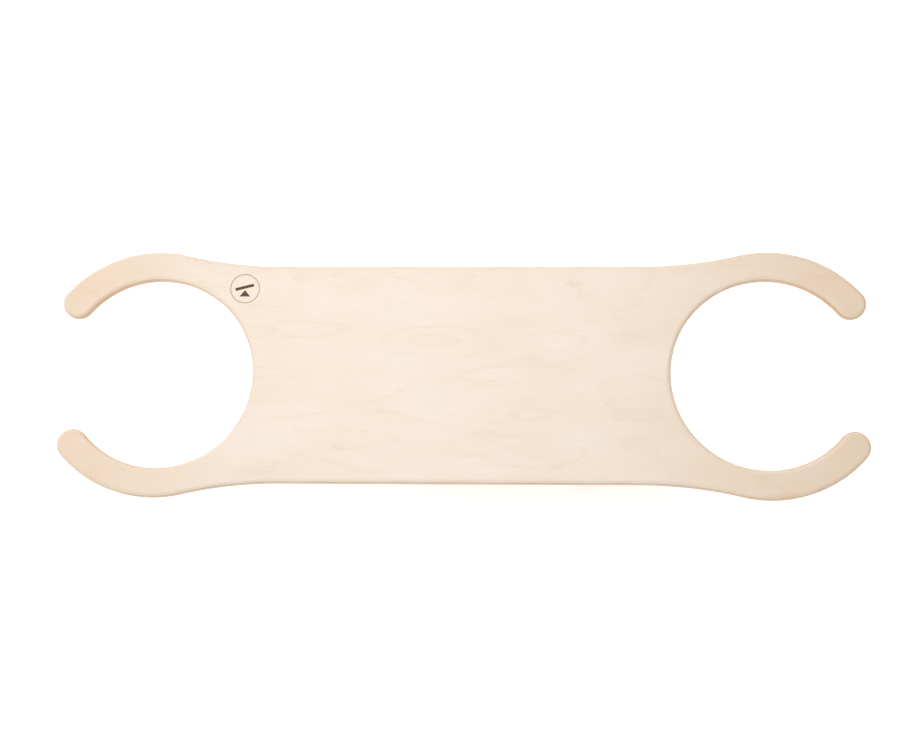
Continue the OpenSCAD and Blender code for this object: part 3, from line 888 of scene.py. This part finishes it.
def add_cap_bolt(bm, low, high, segments):
    """A bolt that points up, with its knurled head hanging below its washer."""
    middle = (low + high) / 2
    head_r, head_h, shank_r = (high.x - low.x) / 2, 6 * MM, 2.9 * MM
    place = Matrix.Translation((middle.x, middle.y, low.z + head_h)) @ Matrix.Rotation(math.pi, 4, "X")
    knurl = ridged(head_r, 36, 0.25 * MM)
    profile = shank(shank_r, high.z - low.z - head_h, 1.0 * MM)
    profile += [(head_r - 0.4 * MM, 0), (head_r - 0.3 * MM, 0.3 * MM), (knurl, 0.7 * MM),
                (knurl, head_h - 1.1 * MM), (head_r - 0.3 * MM, head_h - 0.7 * MM),
                (head_r - 0.9 * MM, head_h)]
    profile += socket(5 * MM, head_h, 3 * MM)
    add_lathe(bm, profile, place, segments=segments)


def screw_profile(head_r, head_h, shank_r, length, tapered):
    """A wood screw with its head's flat top at zero and its point below, ringed by its thread."""
    points = [(0.15 * MM, -length)]
    z = -length + 1.2 * MM
    while z < -0.35 * length:
        crest = shank_r * min(1.0, (z + length) / (3 * shank_r))
        root = 0.66 * crest
        points += [(root, z), (crest, z + 0.45 * MM), (root, z + 0.9 * MM)]
        z += 1.6 * MM
    points.append((shank_r * 0.8, z + 0.6 * MM))
    points.append((shank_r * 0.8, -head_h - 0.01 * MM))
    if not tapered:
        points.append((head_r - 0.3 * MM, -head_h))
        points.append((head_r, -head_h + 0.3 * MM))
    points += [(head_r, -0.25 * MM), (head_r - 0.25 * MM, 0)]
    return points + socket(0.9 * head_r, 0, 0.5 * head_h)


def brace_screw(bm, low, high, segments):
    middle = (low + high) / 2
    face = high.y if middle.y > 0 else low.y
    profile = screw_profile((high.x - low.x) / 2, 4 * MM, 2.2 * MM, high.y - low.y, True)
    add_lathe(bm, profile, outward(middle.x, face, middle.z), segments=segments)


def upward_screw(head_h):
    def add(bm, low, high, segments):
        middle = (low + high) / 2
        place = Matrix.Translation((middle.x, middle.y, low.z)) @ Matrix.Rotation(math.pi, 4, "X")
        profile = screw_profile((high.x - low.x) / 2, head_h, 1.95 * MM, high.z - low.z, False)
        add_lathe(bm, profile, place, segments=segments)
    return add


def add_insert(bm, low, high, segments):
    """A threaded insert with a coarse outer thread."""
    middle = (low + high) / 2
    outer, inner, length = (high.x - low.x) / 2, 3.05 * MM, high.z - low.z
    root = outer - 0.9 * MM
    profile = [(inner, 0), (outer - 0.8 * MM, 0)]
    for i in range(5):
        z = (1 + 2.1 * i) * MM
        profile += [(root, z), (outer, z + 0.6 * MM), (outer, z + 0.9 * MM), (root, z + 1.6 * MM)]
    profile += [(root, length), (inner, length)]
    place = Matrix.Translation((middle.x, middle.y, low.z))
    add_lathe(bm, profile, place, closed=True, segments=segments)


def add_dowel(bm, low, high, segments):
    radius, length = (high.x - low.x) / 2, high.y - low.y
    fluted = ridged(radius, 24, 0.3 * MM)
    profile = [(radius - MM, 0), (fluted, MM), (fluted, length - MM), (radius - MM, length)]
    add_lathe(bm, profile, along_y(low, high), segments=segments)


def add_axle(bm, low, high, segments):
    """A round bar with a tapped hole in each end."""
    radius, length, bore = (high.x - low.x) / 2, high.y - low.y, 4.05 * MM
    profile = [(radius - 0.8 * MM, 0), (radius, 0.8 * MM), (radius, length - 0.8 * MM),
               (radius - 0.8 * MM, length), (bore + 0.6 * MM, length), (bore, length - 0.6 * MM),
               (bore, length - 25 * MM), (0.4 * MM, length - 26 * MM)]
    lower = [(r, length - z) for r, z in reversed(profile[4:])]
    add_lathe(bm, lower + profile, along_y(low, high), segments=segments)


ON_AXLE_R = 8 * MM + FIT

make_turned("axle", zinc, add_axle)
make_turned("axle_spacer", zinc, y_tube(ON_AXLE_R, 0.5 * MM))
for side in SIDES:
    make_turned("bush_core_" + side, zinc, y_tube(ON_AXLE_R, 0.4 * MM))
    make_turned("bush_outer_" + side, zinc, y_tube(15 * MM, 0.5 * MM))
    make_turned("thrust_washer_" + side, white_nylon, y_tube(ON_AXLE_R, 0.3 * MM))
    make_turned("axle_washer_" + side, zinc, y_tube(4.2 * MM, 0.5 * MM))
    make_turned("axle_bolt_" + side, zinc, dome_bolt(5.5 * MM, 5 * MM, 4 * MM, 20 * MM, 1.25 * MM))
make_turned("rail_bolts", zinc, dome_bolt(4 * MM, 4 * MM, 3 * MM, 55 * MM, 1.0 * MM))
make_turned("bearer_bolts", black_steel, add_cap_bolt, segments=72)
make_turned("bearer_washers", zinc, z_washer(3.2 * MM, 0.2 * MM))
make_turned("board_inserts", yellow_brass, add_insert)
make_turned("brace_screws", black_steel, brace_screw)
make_turned("foot_screws", black_steel, upward_screw(2.5 * MM))
make_turned("buffer_screws", black_steel, upward_screw(3 * MM))
make_turned("rail_dowels", plain_beech, add_dowel, segments=96)


NUT_BEVEL = 0.5 * MM
NUT_SLOT_HALF = 0.7 * MM
NUT_SLOT_DEPTH = 1.2 * MM
NUT_BORE_R = 3 * MM


def make_barrel_nuts(node):
    """Round cross nuts with a screwdriver slot in the end that shows."""
    bm = bmesh.new()
    cutter = bmesh.new()
    for low, high in solids(node):
        middle = (low + high) / 2
        radius, length = (high.z - low.z) / 2, high.x - low.x
        profile = [(radius - NUT_BEVEL, 0), (radius, NUT_BEVEL), (radius, length - NUT_BEVEL),
                   (radius - NUT_BEVEL, length)]
        place = Matrix.Translation((low.x, middle.y, middle.z)) @ Matrix.Rotation(math.radians(90), 4, "Y")
        add_lathe(bm, profile, place, segments=48)
        drill_y(cutter, middle, low, high, NUT_BORE_R)
        shown = low.x if middle.x > 0 else high.x
        near, far = low.y - PAST, high.y + PAST
        bottom, top = middle.z - NUT_SLOT_HALF, middle.z + NUT_SLOT_HALF
        slot = [(near, bottom), (far, bottom), (far, top), (near, top)]
        add_plate(cutter, slot, shown - NUT_SLOT_DEPTH, shown + NUT_SLOT_DEPTH, crossways, 0)
    piece = finish_mesh(bm, node + "_shaped")
    cut(piece, cutter)
    stand_for(piece, node, zinc)


make_barrel_nuts("rail_barrel_nuts")

# ---- Rubber pieces ----


def add_bush_rubber(bm, low, high, segments):
    """A rubber ring whose free ends are dished between the two sleeves."""
    outer, inner, length = (high.x - low.x) / 2, 10.05 * MM, high.y - low.y
    dish = 2 * MM
    profile = []
    for i in range(9):
        t = i / 8
        profile.append((inner + (outer - inner) * t, dish * math.sin(math.pi * t)))
    profile += [(r, length - z) for r, z in reversed(profile)]
    add_lathe(bm, profile, along_y(low, high), closed=True, segments=segments)


def add_end_buffer(bm, low, high, segments):
    """A domed buffer with a recess for its screw and two grooves round its side."""
    middle = (low + high) / 2
    radius, height = (high.x - low.x) / 2, 14 * MM
    dome, recess_r, recess = 7 * MM, 4.5 * MM, 6 * MM
    dome_r = (radius ** 2 + dome ** 2) / (2 * dome)
    bore_r = 2.05 * MM
    profile = [(bore_r, recess), (recess_r, recess), (recess_r, 0.9 * MM)]
    for i in range(13):
        r = recess_r + 0.4 * MM + (radius - recess_r - 0.4 * MM) * math.sin(math.radians(90 * i / 12))
        profile.append((r, dome_r - math.sqrt(dome_r ** 2 - r ** 2)))
    for z in (8.4 * MM, 11 * MM):
        profile += [(radius, z - 0.5 * MM), (radius - 0.7 * MM, z), (radius, z + 0.5 * MM)]
    profile += [(radius, height - 0.6 * MM), (radius - 0.6 * MM, height), (bore_r, height)]
    place = Matrix.Translation((middle.x, middle.y, high.z - height))
    add_lathe(bm, profile, place, closed=True, segments=segments)


def shoe_section(half_w, inner_half, height, sole):
    """The U-shaped section of a foot shoe in Y and Z, with grooves along its sole."""
    lip = 1.2 * MM
    path = []
    for share in (-0.68, -0.44, 0.44, 0.68):
        groove = share * half_w
        path += [(groove - 0.8 * MM, 0), (groove - 0.35 * MM, 0.9 * MM), (groove + 0.35 * MM, 0.9 * MM),
                 (groove + 0.8 * MM, 0)]
    grooves = len(path)
    path += [(half_w - 1.5 * MM, 0), (half_w - 0.4 * MM, 0.4 * MM), (half_w, 1.5 * MM)]
    path += [(half_w, height - lip), (half_w - 0.35 * lip, height - 0.35 * lip), (half_w - lip, height)]
    path += [(inner_half + 0.4 * MM, height), (inner_half, height - 0.4 * MM), (inner_half, sole)]
    return path + [(-u, v) for u, v in reversed(path[grooves:])]


SHOE_CORNER = 1.6 * MM
SHOE_SOLE = 6 * MM
SHOE_INNER_HALF = 9 * MM + FIT


def make_foot_shoe(node):
    """The section is pulled along X and shrinks at both ends, which rounds them."""
    low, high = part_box(node)
    middle = (low + high) / 2
    half_l, half_w = (high.x - low.x) / 2, (high.y - low.y) / 2
    ends = []
    for step in range(8):
        angle = math.radians(90 * step / 7)
        ends.append((SHOE_CORNER * (1 - math.cos(angle)), SHOE_CORNER * (1 - math.sin(angle))))
    steps = [(-half_l + x, pull) for x, pull in ends] + [(half_l - x, pull) for x, pull in reversed(ends)]
    bm = bmesh.new()
    loops = []
    for x, pull in steps:
        section = shoe_section(half_w - pull, SHOE_INNER_HALF, high.z - 0.25 * pull, SHOE_SOLE)
        loops.append([bm.verts.new((middle.x + x, middle.y + u, v)) for u, v in section])
    add_loops(bm, loops)
    fill_ring(bm, loops[0])
    fill_ring(bm, loops[-1])
    piece = finish_mesh(bm, node + "_shaped")
    cutter = bmesh.new()
    head_r, hole_r, seat = 4 * MM + FIT, 2 * MM + FIT, 3 * MM
    recess = [(head_r, -PAST), (head_r, seat), (hole_r, seat), (hole_r, SHOE_SOLE + PAST)]
    add_lathe(cutter, recess, Matrix.Translation((middle.x, middle.y, 0)), segments=32)
    cut(piece, cutter)
    stand_for(piece, node, black_rubber)


for side in SIDES:
    make_turned("bush_rubber_" + side, black_rubber, add_bush_rubber)
    for end in ENDS:
        make_turned(f"end_buffer_{side}_{end}", black_rubber, add_end_buffer)
        make_foot_shoe(f"foot_shoe_{side}_{end}")

# ---- Camera, light and floor ----

CAMERA_AT = (0.0693, -0.3588, 2.1443 + board_high.z)
CAMERA_TURN = (9.46, 2.15, 0.49)
AIM = (0, 0, 0.15)

camera_data = bpy.data.cameras.new("camera")
camera_data.sensor_width = 36
camera_data.lens = 64
camera = bpy.data.objects.new("camera", camera_data)
camera.location = CAMERA_AT
camera.rotation_euler = [math.radians(angle) for angle in CAMERA_TURN]
bpy.context.scene.collection.objects.link(camera)
bpy.context.scene.camera = camera


def area_light(name, place, size, power):
    """A round white lamp that points at the middle of the object and isn't seen itself."""
    data = bpy.data.lights.new(name, "AREA")
    data.shape = "DISK"
    data.size = size
    data.energy = power
    light = bpy.data.objects.new(name, data)
    light.location = place
    light.visible_camera = False
    light.rotation_euler = (Vector(AIM) - Vector(place)).to_track_quat("-Z", "Y").to_euler()
    bpy.context.scene.collection.objects.link(light)


area_light("key", (-0.16, 0.44, 2.3), 1.6, 25)
area_light("side", (-2.8, 0.3, 1.45), 1.2, 20)

world = bpy.data.worlds.new("studio")
world.use_nodes = True
world.node_tree.nodes["Background"].inputs["Color"].default_value = (1, 1, 1, 1)
world.node_tree.nodes["Background"].inputs["Strength"].default_value = 0.36
bpy.context.scene.world = world
bpy.context.scene.view_settings.view_transform = "Standard"

# A round floor whose rim curves up into a wall and is open at the top
FLOOR_R = 7
COVE_R = 5
COVE_STEPS = 12

bm = bmesh.new()
cove = [(0.01, 0), (FLOOR_R, 0)]
for step in range(1, COVE_STEPS + 1):
    turn = math.radians(90 * step / COVE_STEPS)
    cove.append((FLOOR_R + COVE_R * math.sin(turn), COVE_R * (1 - math.cos(turn))))
add_lathe(bm, cove, Matrix.Identity(4), segments=96)
bm.faces.ensure_lookup_table()
bm.faces.remove(bm.faces[-1])
floor = finish_mesh(bm, "floor")
floor_graph = Graph("floor")
floor_point = floor_graph.split(floor_graph.point)
cloud = floor_graph.noise(floor_graph.stretched(*floor_point, (600, 600, 600), 0.0))
paint = floor_graph.mix(floor_graph.smooth(cloud, 0.3, 0.7), srgb(249, 249, 248), srgb(246, 246, 245))
floor.data.materials.append(floor_graph.finish(paint, 0.8))
floor_graph.shader.inputs["Emission Color"].default_value = (1, 1, 1, 1)
floor_graph.shader.inputs["Emission Strength"].default_value = 0.48
